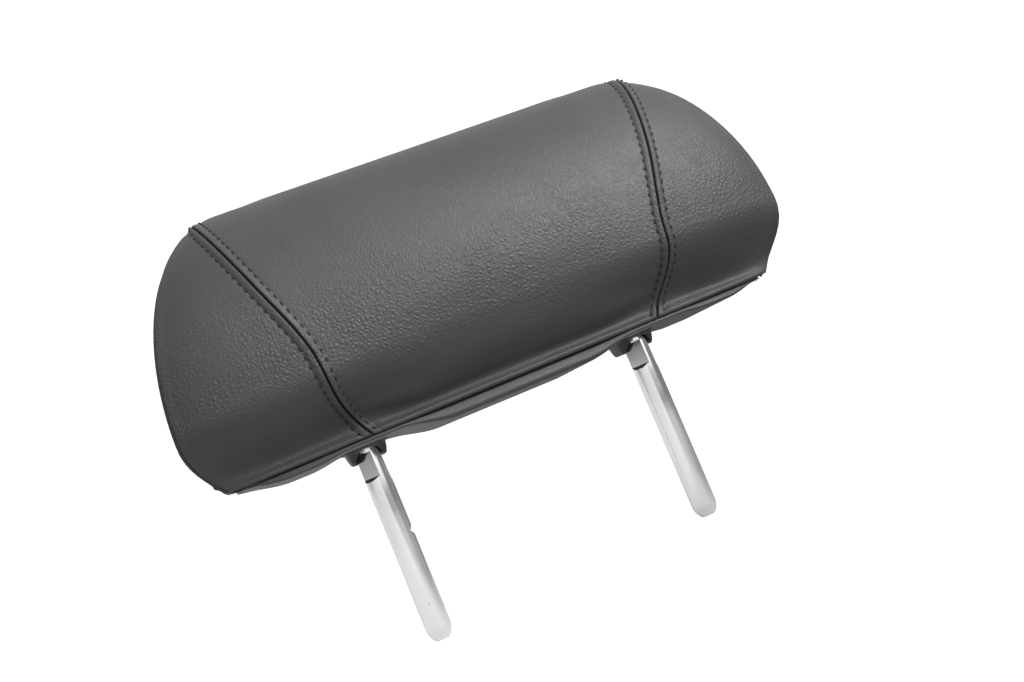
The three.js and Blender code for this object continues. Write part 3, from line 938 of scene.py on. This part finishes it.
# %% [markdown]
# The bezels are moulded ovals with a rounded lip, and a thin flange that covers the cut
# edge of the leather. A profile is carried round the slot's oval: a point of it is an
# offset from the slot and a height.

# %% Bezels
COLLAR_DROP = 6.0
BEZEL_TOP = 13.0
FRONT_DROP, DROP_SPREAD = 0.12, 0.9
BEZEL_PROFILE = np.array([
    [0, BEZEL_TOP], [0, -4.9], [0.15, -5.5], [0.4, -5.85], [0.8, -COLLAR_DROP], [1.2, -5.9],
    [1.6, -5.5], [1.95, -4.8], [2.5, -3.0], [3.0, -0.5], [3.25, -0.3], [3.9, -0.25], [4.15, -0.05],
    [4.2, 0.3], [4.0, 0.55], [3.0, 0.6], [3.0, 7.7], [1.6, 7.7], [1.6, BEZEL_TOP],
])


def oval_ring(x, profile, steps=28):
    """The profile carried round the slot at x: each point lies profile offset outside
    the slot, along the direction from the nearer end's centre. What hangs below zero
    keeps all its drop at the rear and sides, and only FRONT_DROP of it at the front."""
    angle = np.concatenate([np.linspace(0, np.pi, steps), np.linspace(np.pi, 2 * np.pi, steps)])
    middle = np.concatenate([np.full(steps, SLOT_REAR - SLOT_HALF), np.zeros(steps)])
    out = SLOT_HALF + profile[:, 0][:, None]
    height = profile[:, 1][:, None]
    drop_share = FRONT_DROP + (1 - FRONT_DROP) * ease((np.sin(angle) + 1) / DROP_SPREAD)
    return np.stack([
        x + out * np.cos(angle)[None],
        middle[None] + out * np.sin(angle)[None],
        np.where(height < 0, height * drop_share[None], height),
    ], -1)


def ring_faces(around, along):
    """Quads of a profile carried round a closed path, closed both ways."""
    index = np.arange(around * along).reshape(around, along)
    turned = np.roll(index, -1, 1)
    return np.stack([index, turned, np.roll(turned, -1, 0), np.roll(index, -1, 0)], -1).reshape(-1, 4)


def bezel(name, x, node):
    ring = oval_ring(x, BEZEL_PROFILE)
    piece = object_from(name, ring, ring_faces(*ring.shape[:2]))
    worked_on(piece, faced_outwards)
    piece.data.shade_smooth()
    piece.data.set_sharp_from_angle(angle=math.radians(50))
    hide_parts(node)
    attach(piece, "cushion")
    return piece


bezels = [
    bezel("left_slot_bezel", -POST_X, "left_bezel"),
    bezel("right_slot_bezel", POST_X, "right_bezel"),
]
print("bezels", len(bezels))

# %% [markdown]
# The rod is one tube along the same path as the solid: up a post, round a bend, across,
# and down the other post. Its radius is a function of the place along it and the angle
# round it. A notch is a flat cut, so there the radius is the flat's distance from the
# axis over the cosine of the angle from it, wherever that is less than the tube's own.

# %% Rod and posts
POST_RADIUS = 6.0
TIP_RADIUS = 3.3
TIP_LENGTH = 6.0
TIP_CAP = 0.82
BAR_HEIGHT = 56.0
BEND_RADIUS = 18.0
ROD_SIDES = 96
LATCH_TOP, LATCH_LENGTH, LATCH_DEPTH = -2.0, 12.0, 2.6
LATCH_ANGLE = math.radians(222)
DETENT_DROP, DETENT_HEIGHT, DETENT_DEPTH = 42.0, 4.0, 1.6


def rod_stations():
    """Points and directions of the left half of the rod's axis, from the tip up. They
    are closest at the tip and at the notches."""
    heights_up = np.unique(np.round(np.concatenate([
        np.linspace(-POST_DROP, -POST_DROP + 8, 25),
        np.linspace(-POST_DROP + 8, BAR_HEIGHT - BEND_RADIUS, 70),
        np.arange(LATCH_TOP - LATCH_LENGTH - 3, LATCH_TOP + 0.6, 0.25),
        np.arange(-DETENT_DROP - DETENT_HEIGHT, -DETENT_DROP + DETENT_HEIGHT, 0.25),
    ]), 3))
    post = np.stack([np.full_like(heights_up, -POST_X), 0 * heights_up, heights_up], -1)
    up = np.tile([0.0, 0.0, 1.0], (len(post), 1))
    turned = np.linspace(0, np.pi / 2, 25)[1:]
    bend = np.stack([
        -POST_X + BEND_RADIUS * (1 - np.cos(turned)),
        0 * turned,
        BAR_HEIGHT - BEND_RADIUS + BEND_RADIUS * np.sin(turned),
    ], -1)
    round_bend = np.stack([np.sin(turned), 0 * turned, np.cos(turned)], -1)
    across = np.linspace(-POST_X + BEND_RADIUS, 0, 12)[1:]
    bar = np.stack([across, 0 * across, np.full_like(across, BAR_HEIGHT)], -1)
    level = np.tile([1.0, 0.0, 0.0], (len(bar), 1))
    return np.concatenate([post, bend, bar]), np.concatenate([up, round_bend, level])


def flat_cut(radius, angle, facing, distance):
    """The radius where a flat at that distance from the axis, facing that angle, cuts it."""
    cosine = np.cos(angle - facing)
    cut = np.where(cosine > 0.05, distance / np.maximum(cosine, 0.05), 2 * POST_RADIUS)
    return np.minimum(radius, cut)


def post_radius(z, angle, with_detent):
    """Radius of a post: a taper and rounded edge at the tip, then the notches' flats."""
    above = z + POST_DROP
    rounding = np.sin(np.clip(above / TIP_LENGTH, 0, 1) * np.pi / 2) ** 0.8
    tip = TIP_RADIUS + (POST_RADIUS - TIP_RADIUS) * rounding
    radius = np.minimum(POST_RADIUS, tip)
    depth_at = LATCH_DEPTH * np.clip((z - (LATCH_TOP - LATCH_LENGTH)) / 1.5 + 1, 0, 1)
    depth_at = depth_at * np.clip((LATCH_TOP - z) / 0.4, 0, 1)
    radius = flat_cut(radius, angle, LATCH_ANGLE, POST_RADIUS - depth_at)
    if with_detent:
        from_middle = np.abs(z + DETENT_DROP)
        depth_at = DETENT_DEPTH * np.clip(1 - from_middle / (DETENT_HEIGHT / 2), 0, 1)
        radius = flat_cut(radius, angle, 0.0, POST_RADIUS - depth_at)
    return radius


def rod_half(angle, notch_angle, with_detent):
    """The rings of one half. Angle 0 looks along +X on the post, and notch_angle is the
    angle that the notches are cut by."""
    centre, ahead = rod_stations()
    sideways = np.stack([ahead[:, 2], 0 * ahead[:, 0], -ahead[:, 0]], -1)
    back = np.array([0.0, 1.0, 0.0])
    on_post = np.abs(ahead[:, 2:3] - 1) < 1e-6
    cut = post_radius(centre[:, 2:3], notch_angle, with_detent)
    radius = np.where(on_post, cut, POST_RADIUS)
    ring = np.cos(angle)[..., None] * sideways[:, None] + np.sin(angle)[..., None] * back
    return centre[:, None] + ring * radius[..., None]


def rod_rings():
    """Both halves in one run of rings. The right post's own notch faces the same way as
    the left one's, so its angles are reversed before x is."""
    angle = np.linspace(0, 2 * np.pi, ROD_SIDES, endpoint=False)[None]
    left = rod_half(angle, angle, True)
    right = rod_half(angle, np.pi - angle, False) * MIRROR
    return np.concatenate([left, right[-2::-1]])


def rod_piece():
    rings = rod_rings()
    tips = rings[[0, -1]].mean(1, keepdims=True)
    first = tips[:1] + (rings[:1] - tips[:1]) * TIP_CAP
    last = tips[1:] + (rings[-1:] - tips[1:]) * TIP_CAP
    rings = np.concatenate([first, rings, last])
    piece = object_from("chromed_rod", rings, tube_faces(1, len(rings), ROD_SIDES))
    worked_on(piece, faced_outwards)
    piece.data.shade_smooth()
    piece.data.set_sharp_from_angle(angle=math.radians(32))
    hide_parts("post_rod")
    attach(piece, "post_frame")
    return piece


rod = rod_piece()
print("rod", len(rod.data.polygons), "faces")

# %% [markdown]
# The foam stays out of sight, but it is still foam: a moulded block with soft edges. A
# copy of the solid is merged and rebuilt on a fine lattice of cubes, which rounds every
# edge by about a millimetre, and keeps the pocket for the carrier.

# %% Foam
FOAM_CELL = 3.0


def foam_block():
    piece = bpy.data.objects.new("foam_block", frame["nodes"]["foam_core"].data.copy())
    piece.data.materials.clear()
    bpy.context.scene.collection.objects.link(piece)
    worked_on(piece, lambda shell: merged(shell, gap=0.01))
    lattice = piece.modifiers.new("lattice", "REMESH")
    lattice.mode = "VOXEL"
    lattice.voxel_size = FOAM_CELL * MM
    lattice.use_smooth_shade = True
    rounding = piece.modifiers.new("rounding", "SMOOTH")
    rounding.factor = 0.4
    rounding.iterations = 3
    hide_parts("foam_core")
    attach(piece, "cushion")
    return piece


foam = foam_block()

# %% [markdown]
# Black leather is never one flat colour. Here it is a dark grey with a breath of blue
# that changes slowly over the hide and is paler where it is rubbed. The seams are
# darkened with painted shade, standing in for the shade in their grooves.
# The grain is pebbles a couple of millimetres across, drawn as cells with creases
# between them, strongest in a band above the turn of the face, over a finer grain.

# %% Leather
PEBBLE = 0.0019


def leather_finish():
    finish = Finish("grained_leather")
    tone = finish.noise(0.05, 4.0)
    rubbed = finish.noise(0.012, 5.0, 0.6)
    seam = finish.attribute("seam")
    # Nearness to a seam: it paints shade into the colour there and makes the leather rougher.
    seam_shade_and_dullness = 1 - seam.ramp(0.1, 0.6)
    base = tone.ramp(0.3, 0.7).mix((0.0385, 0.036, 0.040, 1), (0.046, 0.0435, 0.048, 1))
    # Painted shade: near the seams the colour is pulled towards near black for the shade in their
    # grooves.
    base = (seam_shade_and_dullness * 0.8).mix(base, grey(0.006))
    warp = finish.noise(0.003, 2.0, output=1)
    shifted = finish.start.node(
        "ShaderNodeVectorMath", {"operation": "MULTIPLY_ADD"}, i0=warp, i1=(0.0009,) * 3, i2=finish.place
    )
    pebbles, fine = (
        finish.start.node(
            "ShaderNodeTexVoronoi", {"feature": "DISTANCE_TO_EDGE"}, Vector=shifted, Scale=scale
        )
        for scale in (1 / PEBBLE, 2.4 / PEBBLE)
    )
    z = finish.axis(2)
    band = z.ramp(0.012, 0.034) * (1 - z.ramp(0.042, 0.085))
    patches = finish.noise(0.03, 2.0).ramp(0.35, 0.65)
    amount = (band * 0.75 + 0.15) * (patches * 0.5 + 0.5)
    height = pebbles.ramp(0.0, 0.42) * amount + fine.ramp(0.0, 0.3) * 0.22
    height = height + finish.noise(0.0007, 2.0) * 0.1
    normal = finish.bump(height, 0.00027, 0.9)
    roughness = 0.42 + rubbed * 0.16 + seam_shade_and_dullness * 0.2
    finish.set(Base_Color=base, Roughness=roughness, Normal=normal, Specular_IOR_Level=0.45)
    return finish.material


leather = leather_finish()
print("leather finish", len(leather.node_tree.nodes), "nodes")

# %% [markdown]
# Thread is spun, so its surface carries a slant of fine ridges, and it is blacker than
# the leather round it.

# %% Thread


def thread_finish():
    finish = Finish("black_thread")
    twist = finish.start.node(
        "ShaderNodeTexWave", {"bands_direction": "DIAGONAL"}, output=1, Vector=finish.place, Scale=900.0
    )
    worn = finish.noise(0.004, 2.0)
    base = worn.mix(grey(0.008), grey(0.02))
    finish.set(Base_Color=base, Roughness=0.75, Normal=finish.bump(twist, 0.00008))
    return finish.material


thread = thread_finish()

# %% [markdown]
# Chrome is a mirror, and its character comes from what it mirrors. Faint brushing along
# the posts, small dull specks and a little haze where the guides have rubbed keep it
# from looking like new glass.

# %% Chrome


def chrome_finish():
    finish = Finish("worn_chrome")
    haze = finish.noise(0.03, 4.0)
    stretched = finish.start.node(
        "ShaderNodeMapping", None, Vector=finish.place, Scale=(1.0, 1.0, 0.04)
    )
    brushing = finish.noise(0.0006, 3.0, 0.6, place=stretched)
    specks = finish.noise(0.0035, 6.0, 0.75).ramp(0.66, 0.72)
    base = specks.mix(grey(0.80, -0.015), grey(0.22))
    roughness = haze.ramp(0.3, 0.75, 0.07, 0.17) + specks * 0.3
    finish.set(
        Base_Color=base, Metallic=1.0, Roughness=roughness, Normal=finish.bump(brushing, 0.00002, 0.5)
    )
    return finish.material


chrome = chrome_finish()

# %% [markdown]
# The small parts inside and round the posts are moulded plastic and plain steel. Moulded
# plastic has a fine spark-eroded texture, and the steel a drawn one. The foam is a mass
# of tiny cells.

# %% Plastic, steel and foam


def plastic_finish(name, level):
    finish = Finish(name)
    texture = finish.noise(0.0004, 2.0)
    tone = finish.noise(0.02, 3.0).mix(grey(level * 0.85), grey(level * 1.15))
    roughness = 0.42 + finish.noise(0.008, 3.0) * 0.16
    finish.set(Base_Color=tone, Roughness=roughness, Normal=finish.bump(texture, 0.00005, 0.7))
    return finish.material


def steel_finish():
    finish = Finish("zinc_steel")
    drawn = finish.start.node("ShaderNodeMapping", None, Vector=finish.place, Scale=(0.05, 1.0, 1.0))
    lines = finish.noise(0.0005, 3.0, place=drawn)
    tone = finish.noise(0.01, 3.0).mix(grey(0.42, -0.03), grey(0.6, -0.01))
    finish.set(
        Base_Color=tone, Metallic=1.0, Roughness=0.3 + lines * 0.15, Normal=finish.bump(lines, 0.00003)
    )
    return finish.material


def foam_finish():
    finish = Finish("moulded_foam")
    cells = finish.start.node("ShaderNodeTexVoronoi", None, Vector=finish.place, Scale=900.0)
    tone = finish.noise(0.03, 3.0).mix((0.56, 0.50, 0.34, 1), (0.68, 0.62, 0.46, 1))
    finish.set(Base_Color=tone, Roughness=0.95, Normal=finish.bump(cells, 0.0004))
    return finish.material


black_plastic = plastic_finish("black_plastic", 0.012)
carrier_plastic = plastic_finish("carrier_plastic", 0.06)
steel = steel_finish()
foam_cells = foam_finish()

# %% [markdown]
# Last, every piece and every solid that still shows gets its finish.

# %% Finishes onto pieces
for piece in bpy.context.scene.objects:
    if piece.name.endswith("_leather"):
        piece.data.materials.append(leather)
for piece in threads:
    piece.data.materials.append(thread)
for piece in bezels:
    piece.data.materials.append(black_plastic)
rod.data.materials.append(chrome)
foam.data.materials.append(foam_cells)
NODE_FINISHES = {
    "carrier_front": carrier_plastic,
    "carrier_rear": carrier_plastic,
    "left_pivot_bush": black_plastic,
    "right_pivot_bush": black_plastic,
    "friction_clamp": steel,
}
for name, node in frame["nodes"].items():
    finish = NODE_FINISHES.get(name, steel if "screw" in name else None)
    if finish:
        for slot in node.material_slots:
            slot.material = finish
